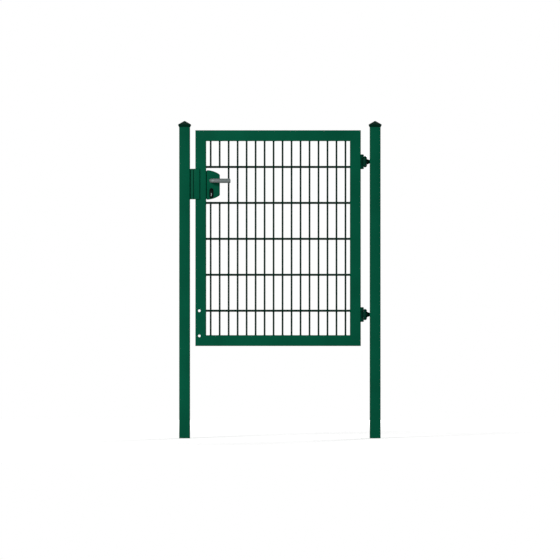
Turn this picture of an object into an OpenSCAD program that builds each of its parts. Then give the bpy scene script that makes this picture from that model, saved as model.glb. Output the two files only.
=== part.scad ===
// Garden gate: a leaf of welded double-rod mesh in a rectangular tube frame,
// hung on two barrel hinges between two square posts.
// Millimetres, +Z up. The origin is the middle of the hinge post's foot, the front
// faces -Y, and the leaf reaches from the hinge post towards -X.

/* [Gateway] */
// Clear width between the two posts
opening_w = 1000; // [900:10:1300]
// Gap between the latch post and the leaf
latch_gap = 30; // [28:1:40]
// Gap between the leaf and the hinge post
hinge_gap = 50; // [48:1:60]
// Height of the leaf's underside above the feet of the posts
leaf_lift = 513; // [100:1:700]

/* [Posts] */
// Side of the square post tube
post_side = 60; // [50:1:100]
// Wall thickness of the post tube
post_wall = 2; // [1.5:0.5:3]
// Outer corner radius of the post tube
post_corner_r = 4; // [4:0.5:8]
// How far the post tubes stand above the leaf
post_rise = 32.5; // [20:0.5:100]

/* [Post caps] */
// How far the cap's brim stands out past the post on each side
cap_overhang = 5.5; // [4:0.5:10]
// Height of the brim's upright edge
cap_rim = 7; // [4:0.5:10]
// How far the skirt stands out past the post
cap_hem = 2.2; // [2:0.1:3]
// Height of the skirt below the brim
cap_skirt = 4; // [3:0.5:12]
// Height of the pyramid above the post's end
cap_rise = 19.5; // [12:0.5:40]
// Side of the small flat on top of the pyramid
cap_peak = 4; // [2:1:8]
// Thickness of the cap's roof
cap_roof = 3; // [2:0.5:5]

/* [Leaf frame] */
// Height of the leaf
leaf_h = 1200; // [1000:10:1600]
// Width of the frame tube, seen from the front
frame_face = 60; // [50:1:80]
// Depth of the frame tube, front to back
frame_depth = 40; // [40:1:50]
// Wall thickness of the frame tube
frame_wall = 2; // [1.5:0.5:3]
// Outer corner radius of the frame tube
frame_corner_r = 4; // [4:0.5:6]

/* [Rod mesh] */
// Diameter of the upright rods
upright_d = 10; // [5:0.5:12]
// Diameter of the paired cross rods
cross_d = 12; // [6:0.5:14]
// Spacing of the upright rods
upright_pitch = 50; // [40:1:100]
// Spacing of the cross rods
cross_pitch = 200; // [150:5:250]

/* [Lock] */
// Middle of the lock below the leaf's top
lock_drop = 304; // [260:1:420]
// Width of the lock case
case_w = 76; // [60:1:100]
// Height of the lock case where it meets the stile
case_h = 164; // [150:1:180]
// Height of the lock case at its free side
case_tip_h = 116; // [100:1:140]
// How far the corners at the lock case's free side are eased
case_ease = 1.5; // [1:0.5:6]
// Wall thickness of the lock case
case_wall = 2; // [1.5:0.5:3]
// Lever and key axis from the stile, across the case
lock_setback = 29; // [24:1:34]
// Lever axis above the middle of the lock
lever_rise = 23; // [16:1:30]
// Key axis below the middle of the lock
key_drop = 38; // [30:1:39]

/* [Lever] */
// Diameter of the round lever bar
lever_d = 23; // [21:1:26]
// Reach of the lever from its axis to its tip
lever_reach = 106; // [80:1:130]
// Lever bar's axis in front of the lock case
lever_standoff = 48; // [40:1:60]
// Bend radius of the lever, along its middle
lever_bend = 18; // [15:1:25]
// Diameter of the lever's neck in the lock case
neck_d = 18; // [15:1:20]
// Side of the square spindle
spindle_side = 8; // [7:1:10]

/* [Keep] */
// Height of the keep
keep_h = 170; // [160:1:220]
// Middle of the keep above the middle of the lock
keep_rise = 5; // [0:1:8]
// How far the stop laps over the front of the leaf
stop_lap = 24; // [15:1:35]
// Thickness of the strike plate, which is bent to make the stop
strike_t = 3; // [2:0.5:4]
// Outer bend radius of the strike plate
strike_bend = 5; // [4.5:0.5:8]

/* [Hinges] */
// Middle of each hinge from the leaf's nearer end
hinge_inset = 175; // [120:1:250]
// Hinge pin's axis out from the leaf
hinge_out = 23; // [22:0.5:24]
// Diameter of the knuckles
knuckle_d = 23; // [20:0.5:24]
// Height of the hinge over its knuckles
hinge_h = 60; // [50:1:80]
// Height of the middle knuckle
eye_h = 40; // [34:1:46]
// Diameter of the hinge pin
pin_d = 12; // [10:0.5:14]
// Height of the hinge's base block
base_h = 82; // [74:1:110]
// Depth of the base block, front to back
base_d = 31; // [26:1:32]
// Thickness of the base block
base_t = 15; // [12:0.5:16]
// Diameter of the eye bolt's shank
shank_d = 16; // [12:1:18]

/* [Holes in the lock stile] */
// Diameter of the two through holes
stile_hole_d = 15; // [10:0.5:18]
// Hole axis from the leaf's lock edge
stile_hole_inset = 22; // [18:1:30]
// Lower hole above the leaf's underside
stile_hole_low = 56; // [50:1:90]
// Distance between the two holes
stile_hole_pitch = 140; // [100:1:200]

/* [Clearances] */
// Room between the swinging leaf and the keep
swing_gap = 5; // [5:0.5:8]
// Radial room of the hinge pin in the middle knuckle
pin_gap = 0.1; // [0.05:0.01:0.1]
// Room above and below the middle knuckle
eye_gap = 0.4; // [0.3:0.1:0.8]
// Room round pieces that are set into others
seat_gap = 0.2; // [0.1:0.05:0.3]

/* [Hidden] */
$fn = 64;
EPS = 1;

leaf_w = opening_w - latch_gap - hinge_gap;
leaf_right = -post_side / 2 - hinge_gap;
leaf_left = leaf_right - leaf_w;
latch_post_x = -opening_w - post_side;
post_length = leaf_lift + leaf_h + post_rise;

// Post cap: skirt, flare, brim and pyramid stand on one another as courses
cap_brim_side = post_side + 2 * cap_overhang;
cap_hem_side = post_side + 2 * cap_hem;
cap_flare = cap_overhang - cap_hem;
cap_depth = cap_rim + cap_flare + cap_skirt;

field_w = leaf_w - 2 * frame_face;
field_top = leaf_h - frame_face;
lock_z = leaf_h - lock_drop;
half_depth = frame_depth / 2;

// Rods: an even field of uprights, and rows of cross rods laid out from the lock's bay
cut_room = 6;
weld_sink = 0.4;
rod_sides = 8;
cross_y = (upright_d + cross_d) / 2 - weld_sink;
upright_count = floor(field_w / upright_pitch);
upright_margin = (field_w - (upright_count - 1) * upright_pitch) / 2;
bay_count = ceil((case_h + 2 * cut_room + cross_d) / cross_pitch);
bay_low = lock_z - bay_count * cross_pitch / 2;
bay_high = lock_z + bay_count * cross_pitch / 2;
row_limit = ceil(leaf_h / cross_pitch);
row_phase = (bay_count % 2) / 2;
rows = [
    for (k = [-row_limit:row_limit])
        let (z = lock_z + (k + row_phase) * cross_pitch)
            if (z > frame_face + cross_d && z < field_top - cross_d) z
];
rod_end = cross_d / 2 - 1;

// Lock case: its top and bottom are arcs that leave the stile square to it
case_drop = (case_h - case_tip_h) / 2;
case_arc_r = (case_w * case_w + case_drop * case_drop) / (2 * case_drop);
case_arc_z = case_arc_r - case_h / 2;
case_ease_r = norm([case_w, case_tip_h / 2]) - case_ease;
lock_x = frame_face + lock_setback;
lever_z = lock_z + lever_rise;
key_z = lock_z - key_drop;

// Profile cylinder of the usual trade size, in an oblong plate on each side
key_round_d = 17;
key_tail_w = 10;
key_h = 33;
key_proud = 4;
plug_d = 14;
plug_len = 12;
keyway_w = 2.4;
keyway_h = 9;
keyway_len = 9;
rim_side = 2.5;
rim_end = 11;
rim_t = 3;

// Lever
neck_in = 6;
neck_out = 8;
spindle_grip = 20;
neck_gap = 0.3;
tip_round = lever_d / 5;

// Bolts, drawn back flush with the forend
forend_w = 22;
forend_h = case_h;
latch_w = 12;
latch_h = 30;
bolt_w = 10;
bolt_h = 34;
bolt_len = 45;
latch_land = 2;
pocket_room = 3;
pocket_deep = 14;
latch_z = lock_z + lever_rise + 8;
bolt_z = lock_z - key_drop - 6;

// Keep: a block on the latch post, a strike on the block and a stop in front of the leaf
strike_x = -swing_gap - strike_t;
block_w = latch_gap + strike_x;
keep_z = lock_z + keep_rise;
stop_back = -half_depth - swing_gap;
stop_front = stop_back - strike_t;
block_round = 3;

// Hinge
base_chamfer = 3;
base_plate = 5;
base_web = 16;
knuckle_round = min(knuckle_d / 2, (hinge_h - eye_h) / 2 - eye_gap) - 1;
knuckle_fit = 0.05;
groove_room = 1;
slot_h = eye_h + 2 * eye_gap;
web_h = 0.96 * (hinge_h - slot_h) / 2;
collar_d = knuckle_d + 8;
collar_end_d = shank_d + 3;
collar_x = hinge_out + knuckle_d / 2 - 0.5;
shank_in = 30;
pin_proud = 1;
hinge_heights = [hinge_inset, leaf_h - hinge_inset];

green = "#024f38";
dark_green = "#03231a";
rod_green = "#12241d";
black = "#101412";
steel = "#8f9694";
lever_grey = "#6e7675";

// Outlines and placing

// Rectangle with round corners, centred on the origin
module round_rect(w, d, r) {
    square([w - 2 * r, d], center = true);
    square([w, d - 2 * r], center = true);
    for (x = [-1, 1], y = [-1, 1])
        translate([x * (w / 2 - r), y * (d / 2 - r)])
            circle(r);
}

// Section of a rectangular tube
module tube_outline(w, d, wall, r) {
    difference() {
        round_rect(w, d, r);
        round_rect(w - 2 * wall, d - 2 * wall, r - wall);
    }
}

// Slab of a given depth, front to back, from an outline drawn in the leaf's plane
module slab(depth) {
    rotate([90, 0, 0])
        linear_extrude(depth, center = true)
            children();
}

// Places a piece from the leaf's lower lock-side corner
module in_leaf() {
    translate([leaf_left, 0, leaf_lift])
        children();
}

// Places a piece on the hinge stile, at the middle of a hinge
module at_hinge(z) {
    in_leaf()
        translate([leaf_w, 0, z])
            children();
}

// Rear twin of a front piece
module rear() {
    mirror([0, 1, 0])
        children();
}

// Posts and caps

module post_tube() {
    linear_extrude(post_length)
        tube_outline(post_side, post_side, post_wall, post_corner_r);
}

module hinge_post() {
    color(green)
        difference() {
            post_tube();
            for (z = hinge_heights)
                translate([-post_side / 2 - EPS, 0, leaf_lift + z])
                    rotate([0, 90, 0])
                        cylinder(d = shank_d + 2 * seat_gap, h = post_wall + 2 * EPS);
        }
}

module latch_post() {
    color(green)
        translate([latch_post_x, 0, 0])
            post_tube();
}

// One course of the cap, h high from z up, that goes from side a to side b
module cap_course(z, h, a, b) {
    translate([0, 0, z])
        linear_extrude(h, scale = b / a)
            round_rect(a, a, post_corner_r * a / cap_brim_side, $fn = 12);
}

// Cap that slips over the post's end: a low pyramid on an upright brim, with a narrower skirt
module post_cap() {
    pocket = post_side + 2 * seat_gap;
    bore = post_side - 2 * post_wall - 2 * cap_roof;
    translate([0, 0, post_length])
        difference() {
            union() {
                cap_course(-cap_depth, cap_skirt, cap_hem_side, cap_hem_side);
                cap_course(-cap_rim - cap_flare, cap_flare, cap_hem_side, cap_brim_side);
                cap_course(-cap_rim, cap_rim, cap_brim_side, cap_brim_side);
                cap_course(0, cap_rise, cap_brim_side, cap_peak);
            }
            translate([0, 0, -cap_depth - EPS])
                linear_extrude(cap_depth + EPS)
                    round_rect(pocket, pocket, post_corner_r);
            translate([0, 0, -EPS])
                linear_extrude(cap_rise - 2 * cap_roof + EPS, scale = cap_peak / cap_brim_side)
                    square(bore, center = true);
        }
}

module hinge_post_cap() {
    color(dark_green)
        post_cap();
}

module latch_post_cap() {
    color(dark_green)
        translate([latch_post_x, 0, 0])
            post_cap();
}

// Keep on the latch post

// Pockets for the latch and the dead bolt, cut from x towards the post
module bolt_pockets(x, deep) {
    for (p = [[latch_w, latch_h, latch_z], [bolt_w, bolt_h, bolt_z]])
        translate([x - deep, -p[0] / 2 - pocket_room, p[2] - p[1] / 2 - pocket_room])
            cube([deep + EPS, p[0] + 2 * pocket_room, p[1] + 2 * pocket_room]);
}

module keep_block() {
    color(green)
        in_leaf()
            difference() {
                translate([block_w / 2 - latch_gap, 0, keep_z - keep_h / 2])
                    linear_extrude(keep_h)
                        round_rect(block_w, frame_depth, block_round);
                bolt_pockets(strike_x, pocket_deep);
            }
}

// Corner that a round of radius r leaves over, between the origin's two axes
module round_waste(r, over) {
    difference() {
        translate([-over, -over])
            square(r + over);
        translate([r, r])
            circle(r);
    }
}

// Bent strike plate seen from above: one leg on the block, the other in front of the leaf
module strike_outline() {
    translate([strike_x, stop_front]) {
        difference() {
            union() {
                square([strike_t, half_depth - stop_front]);
                square([stop_lap - strike_x, strike_t]);
            }
            round_waste(strike_bend, EPS);
        }
        translate([strike_t, strike_t])
            round_waste(strike_bend - strike_t, 0);
    }
}

module keep_strike() {
    color(green)
        in_leaf()
            difference() {
                translate([0, 0, keep_z - keep_h / 2])
                    linear_extrude(keep_h)
                        strike_outline();
                bolt_pockets(strike_x + strike_t, strike_t + EPS);
            }
}

// Leaf frame

// Outline in the leaf's plane that gives a tube its two mitred ends
module mitre_outline(length) {
    polygon([
        [0, 0], [length, 0],
        [length - frame_face, frame_face], [frame_face, frame_face]
    ]);
}

// Mitred frame tube lying along +X, its outer side down
module frame_tube(length) {
    intersection() {
        translate([0, 0, frame_face / 2])
            rotate([0, 90, 0])
                linear_extrude(length)
                    tube_outline(frame_face, frame_depth, frame_wall, frame_corner_r);
        slab(frame_depth + 2 * EPS)
            mitre_outline(length);
    }
}

module bottom_rail() {
    color(green)
        in_leaf()
            frame_tube(leaf_w);
}

module top_rail() {
    color(green)
        in_leaf()
            translate([0, 0, leaf_h])
                mirror([0, 0, 1])
                    frame_tube(leaf_w);
}

module hinge_stile() {
    color(green)
        in_leaf()
            translate([leaf_w, 0, 0])
                rotate([0, -90, 0])
                    frame_tube(leaf_h);
}

module lock_stile() {
    color(green)
        in_leaf()
            difference() {
                mirror([1, 0, 0])
                    rotate([0, -90, 0])
                        frame_tube(leaf_h);
                translate([-EPS, -forend_w / 2 - seat_gap, lock_z - forend_h / 2 - seat_gap])
                    cube([frame_wall + 2 * EPS, forend_w + 2 * seat_gap, forend_h + 2 * seat_gap]);
                for (z = [stile_hole_low, stile_hole_low + stile_hole_pitch])
                    translate([stile_hole_inset, 0, z])
                        rotate([90, 0, 0])
                            cylinder(d = stile_hole_d, h = frame_depth + 2 * EPS, center = true);
            }
}

// Rod mesh

// Straight rod along +Z, drawn with flat sides to the front and back
module rod(d, length) {
    rotate(180 / rod_sides)
        cylinder(d = d / cos(180 / rod_sides), h = length, $fn = rod_sides);
}

module upright(x, z0, z1) {
    if (z1 - z0 > upright_d)
        translate([x, 0, z0])
            rod(upright_d, z1 - z0);
}

module cross_pair(x0, z) {
    for (y = [-cross_y, cross_y])
        translate([x0, y, z])
            rotate([0, 90, 0])
                rod(cross_d, leaf_w - frame_face - x0);
}

module rod_mesh() {
    cut_x = frame_face + case_w + cut_room;
    color(rod_green)
        in_leaf() {
            for (i = [0:upright_count - 1]) {
                x = frame_face + upright_margin + i * upright_pitch;
                if (x < cut_x) {
                    upright(x, frame_face, bay_low + rod_end);
                    upright(x, bay_high - rod_end, field_top);
                } else {
                    upright(x, frame_face, field_top);
                }
            }
            for (z = rows)
                cross_pair(z > bay_low + 1 && z < bay_high - 1 ? cut_x : frame_face, z);
        }
}

// Lock

// Lock case seen from the front, from the stile outwards, shrunk by an inset.
// Two arcs make its top and bottom, and a third eases the corners at its free side.
module case_outline(inset, start) {
    intersection() {
        translate([start, -case_h])
            square([case_w - inset - start, 2 * case_h]);
        translate([0, -case_arc_z])
            circle(case_arc_r - inset, $fn = 180);
        translate([0, case_arc_z])
            circle(case_arc_r - inset, $fn = 180);
        circle(case_ease_r - inset, $fn = 180);
    }
}

// Profile cylinder seen from the front, grown all round
module key_outline(grow) {
    tail = key_h - key_round_d / 2 - key_tail_w / 2;
    circle(d = key_round_d + 2 * grow);
    translate([-key_tail_w / 2 - grow, -tail])
        square([key_tail_w + 2 * grow, tail]);
    translate([0, -tail])
        circle(d = key_tail_w + 2 * grow);
}

module at_lever() {
    in_leaf()
        translate([lock_x, 0, lever_z])
            children();
}

module at_key() {
    in_leaf()
        translate([lock_x, 0, key_z])
            children();
}

module lock_case() {
    color(green)
        difference() {
            in_leaf()
                translate([frame_face, 0, lock_z])
                    difference() {
                        slab(frame_depth)
                            case_outline(0, 0);
                        slab(frame_depth - 2 * case_wall)
                            case_outline(case_wall, -EPS);
                    }
            at_lever()
                rotate([90, 0, 0])
                    cylinder(d = neck_d + 2 * neck_gap, h = frame_depth + 2 * EPS, center = true);
            at_key()
                slab(frame_depth + 2 * EPS)
                    key_outline(seat_gap);
        }
}

module lock_forend() {
    color(steel)
        in_leaf()
            difference() {
                translate([0, -forend_w / 2, lock_z - forend_h / 2])
                    cube([frame_wall, forend_w, forend_h]);
                for (p = [[latch_w, latch_h, latch_z], [bolt_w, bolt_h, bolt_z]])
                    translate([-EPS, -p[0] / 2 - seat_gap, p[2] - p[1] / 2 - seat_gap])
                        cube([frame_wall + 2 * EPS, p[0] + 2 * seat_gap, p[1] + 2 * seat_gap]);
            }
}

// Latch drawn back flush with the forend, slanted on the side that leads as the gate shuts
module latch_bolt() {
    color(steel)
        in_leaf()
            translate([0, 0, latch_z - latch_h / 2])
                linear_extrude(latch_h)
                    polygon([
                        [0, latch_w / 2], [0, latch_w / 2 - latch_land],
                        [latch_w - latch_land, -latch_w / 2],
                        [bolt_len, -latch_w / 2], [bolt_len, latch_w / 2]
                    ]);
}

module dead_bolt() {
    color(steel)
        in_leaf()
            translate([0, -bolt_w / 2, bolt_z - bolt_h / 2])
                cube([bolt_len, bolt_w, bolt_h]);
}

module key_cylinder() {
    end_y = half_depth + key_proud;
    color(steel)
        at_key()
            difference() {
                slab(2 * end_y)
                    key_outline(0);
                for (side = [-1, 1])
                    translate([0, side * end_y, 0])
                        rotate([90, 0, 0])
                            cylinder(d = plug_d + 2 * pin_gap, h = 2 * plug_len, center = true);
            }
}

// Turning core of the cylinder, with its keyway
module key_plug() {
    end_y = -half_depth - key_proud;
    at_key()
        difference() {
            translate([0, end_y + plug_len / 2, 0])
                rotate([90, 0, 0])
                    cylinder(d = plug_d, h = plug_len, center = true);
            translate([-keyway_w / 2, end_y - EPS, -keyway_h / 2])
                cube([keyway_w, keyway_len + EPS, keyway_h]);
        }
}

module front_key_plug() {
    color(black)
        key_plug();
}

module rear_key_plug() {
    color(black)
        rear()
            key_plug();
}

// Oblong plate round the cylinder on the face of the case
module key_rim() {
    w = key_round_d + 2 * rim_side;
    run = key_h + 2 * rim_end - w;
    at_key()
        translate([0, -half_depth - rim_t / 2, 0])
            slab(rim_t)
                difference() {
                    translate([0, (key_round_d - key_h) / 2]) {
                        square([w, run], center = true);
                        for (side = [-1, 1])
                            translate([0, side * run / 2])
                                circle(d = w);
                    }
                    key_outline(seat_gap);
                }
}

module front_key_rim() {
    color(black)
        key_rim();
}

module rear_key_rim() {
    color(black)
        rear()
            key_rim();
}

// Levers

// Round bar along +Z from the origin, with a rounded far end
module round_tip_bar(d, length, r) {
    rotate_extrude() {
        square([d / 2 - r, length]);
        square([d / 2, length - r]);
        translate([d / 2 - r, length - r])
            intersection() {
                circle(r);
                square(r);
            }
    }
}

// Round bar that comes out of the case, bends once and runs level to its tip
module lever() {
    bar_y = -half_depth - lever_standoff;
    shank_len = lever_standoff - lever_bend - neck_out;
    at_lever()
        difference() {
            union() {
                translate([0, neck_in - half_depth, 0])
                    rotate([90, 0, 0])
                        cylinder(d = neck_d, h = neck_in + neck_out + EPS);
                translate([0, -half_depth - neck_out, 0])
                    rotate([90, 0, 0])
                        cylinder(d = lever_d, h = shank_len);
                translate([lever_bend, bar_y + lever_bend, 0])
                    rotate(180)
                        rotate_extrude(angle = 90)
                            translate([lever_bend, 0])
                                circle(d = lever_d);
                translate([lever_bend, bar_y, 0])
                    rotate([0, 90, 0])
                        round_tip_bar(lever_d, lever_reach - lever_bend, tip_round);
            }
            cube([
                spindle_side + 2 * seat_gap,
                2 * (half_depth + spindle_grip + seat_gap),
                spindle_side + 2 * seat_gap
            ], center = true);
        }
}

module front_lever() {
    color(lever_grey)
        lever();
}

module rear_lever() {
    color(lever_grey)
        rear()
            lever();
}

module lever_spindle() {
    color(steel)
        at_lever()
            cube([spindle_side, 2 * (half_depth + spindle_grip), spindle_side], center = true);
}

// Hinges

// Half section of an outer knuckle: square below, rounded at its free end
module knuckle_outline() {
    low = slot_h / 2;
    high = hinge_h / 2;
    r = knuckle_round;
    translate([0, low])
        square([knuckle_d / 2 - r, high - low]);
    translate([0, low])
        square([knuckle_d / 2, high - low - r]);
    translate([knuckle_d / 2 - r, high - r])
        intersection() {
            circle(r);
            square(r);
        }
}

// Outer knuckle with the web that ties it to the base block
module outer_knuckle() {
    translate([hinge_out, 0, 0])
        rotate_extrude()
            knuckle_outline();
    translate([base_t - EPS, -base_web / 2, slot_h / 2])
        cube([hinge_out - base_t + EPS, base_web, web_h]);
}

// Base on the stile: a block slotted for the eye, with a knuckle above and below it
module hinge_base() {
    difference() {
        union() {
            linear_extrude(base_h, center = true)
                polygon([
                    [0, -base_d / 2], [base_t - base_chamfer, -base_d / 2],
                    [base_t, base_chamfer - base_d / 2], [base_t, base_d / 2 - base_chamfer],
                    [base_t - base_chamfer, base_d / 2], [0, base_d / 2]
                ]);
            outer_knuckle();
            mirror([0, 0, 1])
                outer_knuckle();
        }
        translate([hinge_out, 0, 0])
            cylinder(d = knuckle_d + 2 * groove_room, h = slot_h, center = true);
        for (side = [-1, 1])
            translate([base_t / 2 + base_plate, side * (base_web + base_d) / 2, 0])
                cube([base_t, base_d, slot_h], center = true);
        translate([hinge_out, 0, 0])
            cylinder(d = pin_d + 2 * knuckle_fit, h = base_h, center = true);
    }
}

// Eye bolt in the post: middle knuckle, tapered collar and shank
module eye_bolt() {
    difference() {
        union() {
            translate([hinge_out, 0, 0])
                cylinder(d = knuckle_d, h = eye_h, center = true);
            translate([hinge_out, 0, 0])
                rotate([0, 90, 0])
                    cylinder(d = shank_d, h = hinge_gap - hinge_out + shank_in);
            translate([collar_x, 0, 0])
                rotate([0, 90, 0])
                    cylinder(d1 = collar_d, d2 = collar_end_d, h = hinge_gap - collar_x);
        }
        translate([hinge_out, 0, 0])
            cylinder(d = pin_d + 2 * pin_gap, h = eye_h + 2 * EPS, center = true);
    }
}

module hinge_pin() {
    translate([hinge_out, 0, 0])
        cylinder(d = pin_d, h = hinge_h + 2 * pin_proud, center = true);
}

module upper_hinge_base() {
    color(dark_green)
        at_hinge(leaf_h - hinge_inset)
            hinge_base();
}

module lower_hinge_base() {
    color(dark_green)
        at_hinge(hinge_inset)
            hinge_base();
}

module upper_eye_bolt() {
    color(dark_green)
        at_hinge(leaf_h - hinge_inset)
            eye_bolt();
}

module lower_eye_bolt() {
    color(dark_green)
        at_hinge(hinge_inset)
            eye_bolt();
}

module upper_hinge_pin() {
    color(steel)
        at_hinge(leaf_h - hinge_inset)
            hinge_pin();
}

module lower_hinge_pin() {
    color(steel)
        at_hinge(hinge_inset)
            hinge_pin();
}

hinge_post();
latch_post();
hinge_post_cap();
latch_post_cap();
keep_block();
keep_strike();
upper_eye_bolt();
lower_eye_bolt();
top_rail();
bottom_rail();
lock_stile();
hinge_stile();
rod_mesh();
upper_hinge_base();
lower_hinge_base();
upper_hinge_pin();
lower_hinge_pin();
lock_case();
lock_forend();
latch_bolt();
dead_bolt();
key_cylinder();
front_key_plug();
rear_key_plug();
front_key_rim();
rear_key_rim();
front_lever();
rear_lever();
lever_spindle();
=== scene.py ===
# %% [markdown]
# # A garden gate of rod mesh between two posts
#
# The gate is a leaf of welded rod mesh in a frame of rectangular tube. It hangs on two hinges
# from a square post, and a lock with a lever shuts it against a keep on a second post. The CAD
# model is loaded first and stays as the measure of everything: each piece below is modelled in
# the place of one of its nodes and rides on the same body, so it moves as that node does.

# %% Load the CAD model
import math
from contextlib import contextmanager

import bmesh
import bpy
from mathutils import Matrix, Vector


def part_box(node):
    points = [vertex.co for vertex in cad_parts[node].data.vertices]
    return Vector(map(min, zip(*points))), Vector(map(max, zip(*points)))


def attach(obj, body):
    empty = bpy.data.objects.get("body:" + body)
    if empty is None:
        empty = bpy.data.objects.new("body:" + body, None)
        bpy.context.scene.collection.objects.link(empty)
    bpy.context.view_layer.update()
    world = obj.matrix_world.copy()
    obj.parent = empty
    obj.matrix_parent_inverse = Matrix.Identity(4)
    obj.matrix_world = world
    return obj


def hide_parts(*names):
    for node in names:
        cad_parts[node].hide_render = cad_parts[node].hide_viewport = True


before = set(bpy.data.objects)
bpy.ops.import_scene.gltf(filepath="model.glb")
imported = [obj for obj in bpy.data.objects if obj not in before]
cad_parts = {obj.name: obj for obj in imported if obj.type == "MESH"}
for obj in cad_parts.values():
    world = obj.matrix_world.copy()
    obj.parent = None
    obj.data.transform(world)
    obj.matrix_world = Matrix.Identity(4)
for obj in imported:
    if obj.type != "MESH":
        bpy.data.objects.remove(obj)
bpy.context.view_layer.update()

# %% [markdown]
# ## Tools for modelling
#
# Modelling by operators is like modelling by hand: an operator works on what is selected. So
# the helpers below first clear the selection, then pick the object, faces or edges that the next
# step is about. Lengths are written in millimetres, as on a workshop drawing, and turned into
# metres, which is what the frame uses.

# %% Helpers for selecting
NEAR = 1e-5  # metres: places closer than this count as one
ALONG = 0.999  # share along an axis from which an edge runs that way
FACING = 0.9  # share along an axis from which a face looks that way


def mm(*lengths):
    """One length, or a point, given in millimetres."""
    metres = [length / 1000 for length in lengths]
    return metres[0] if len(metres) == 1 else Vector(metres)


def choose(*pieces):
    """Selects these objects alone, and makes the first one active."""
    bpy.ops.object.select_all(action="DESELECT")
    for piece in pieces:
        piece.select_set(True)
    if pieces:
        bpy.context.view_layer.objects.active = pieces[0]


@contextmanager
def editing(piece):
    """Edit mode on one piece, which is left again at the end of the with block."""
    choose(piece)
    bpy.ops.object.mode_set(mode="EDIT")
    yield
    bpy.ops.object.mode_set(mode="OBJECT")


def pick(piece, kind, wanted):
    """In edit mode, selects the vertices, edges or faces that wanted() says yes to."""
    bpy.ops.mesh.select_mode(type=kind)
    bpy.ops.mesh.select_all(action="DESELECT")
    mesh = bmesh.from_edit_mesh(piece.data)
    parts = {"VERT": mesh.verts, "EDGE": mesh.edges, "FACE": mesh.faces}[kind]
    found = [part for part in parts if wanted(part)]
    for part in found:
        part.select_set(True)
    bmesh.update_edit_mesh(piece.data)
    return len(found)


def middle(part):
    """Middle of an edge or a face."""
    return sum((v.co for v in part.verts), Vector()) / len(part.verts)


def runs(edge, axis):
    """True for an edge along one of the axes x, y or z."""
    along = edge.verts[1].co - edge.verts[0].co
    return abs(getattr(along.normalized(), axis)) > ALONG


def lies_at(part, axis, place):
    """True for an edge or a face whose points all lie at one place along an axis."""
    return all(abs(getattr(v.co, axis) - place) < NEAR for v in part.verts)


# %% Helpers for shaping
def extrude(*step):
    """Extrudes what is selected by a step in millimetres."""
    bpy.ops.mesh.extrude_region_move(TRANSFORM_OT_translate={"value": mm(*step)})


def resize(about, x=1.0, y=1.0, z=1.0):
    """Scales what is selected about a point."""
    bpy.ops.transform.resize(value=(x, y, z), center_override=about)


def round_off(radius, segments=4):
    """Bevels the selected edges to a round, its radius in millimetres."""
    bpy.ops.mesh.bevel(offset=mm(radius), segments=segments, affect="EDGES")


# %% [markdown]
# A primitive is only a start. A block begins as a cube between two corners, a round bar as a
# cylinder between two points, and a modifier is applied as soon as it is set, so that the mesh
# itself carries the shape. Each object stays at the origin with its place in its mesh.


# %% Helpers for starting a piece
def settle(name):
    """Names the new object and puts its place, turn and size into its mesh."""
    piece = bpy.context.object
    piece.name = piece.data.name = name
    bpy.ops.object.transform_apply(location=True, rotation=True, scale=True)
    return piece


def block(name, low, high):
    """A cube between two corners."""
    low, high = Vector(low), Vector(high)
    choose()
    bpy.ops.mesh.primitive_cube_add(size=1, location=(low + high) / 2, scale=high - low)
    return settle(name)


def bar(name, start, end, diameter, far_diameter=None, sides=32):
    """A round bar or a cone between two points, its diameters in millimetres."""
    start, end = Vector(start), Vector(end)
    far = diameter if far_diameter is None else far_diameter
    turn = (end - start).to_track_quat("Z", "Y").to_euler()
    choose()
    bpy.ops.mesh.primitive_cone_add(
        vertices=sides,
        radius1=mm(diameter) / 2,
        radius2=mm(far) / 2,
        depth=(end - start).length,
        location=(start + end) / 2,
        rotation=turn,
    )
    return settle(name)


def disc(name, centre, facing, diameter, sides=32):
    """A filled circle that faces along a direction, to be extruded."""
    turn = Vector(facing).to_track_quat("Z", "Y").to_euler()
    choose()
    bpy.ops.mesh.primitive_circle_add(
        vertices=sides, radius=mm(diameter) / 2, fill_type="NGON", location=centre, rotation=turn
    )
    return settle(name)


# %% Helpers for changing and copying a piece
def apply(piece, kind, **settings):
    """Adds a modifier with these settings and applies it."""
    choose(piece)
    modifier = piece.modifiers.new(kind.lower(), kind)
    for key, value in settings.items():
        setattr(modifier, key, value)
    bpy.ops.object.modifier_apply(modifier=modifier.name)
    return piece


def cut(piece, tool):
    """Cuts the tool's shape out of the piece and removes the tool."""
    apply(piece, "BOOLEAN", operation="DIFFERENCE", object=tool, solver="EXACT")
    bpy.data.objects.remove(tool)


def join(name, *pieces):
    """Joins pieces into the first one."""
    choose(*pieces)
    bpy.ops.object.join()
    pieces[0].name = pieces[0].data.name = name
    return pieces[0]


def copied(piece, name, step):
    """A copy with its own mesh, moved by a step in metres."""
    choose(piece)
    bpy.ops.object.duplicate()
    bpy.ops.transform.translate(value=step)
    return settle(name)


def one_for_each(piece, ending, *nodes):
    """A piece made in the place of the first node, and a copy in the place of each other one."""
    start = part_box(nodes[0])[0]
    copies = [copied(piece, node + ending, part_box(node)[0] - start) for node in nodes[1:]]
    return zip([piece] + copies, nodes)


# %% Helpers for finishing a piece
def paint(piece, finish, body, *nodes, sharp=35):
    """Gives a piece smooth shading, a finish and a body, and hides the CAD nodes it stands for."""
    choose(piece)
    bpy.ops.object.shade_smooth_by_angle(angle=math.radians(sharp))
    piece.data.materials.clear()
    piece.data.materials.append(finish)
    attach(piece, body)
    if nodes:
        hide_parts(*nodes)
    print(f"{piece.name}: {len(piece.data.polygons)} faces, on {body}, {finish.name}")
    return piece


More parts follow.
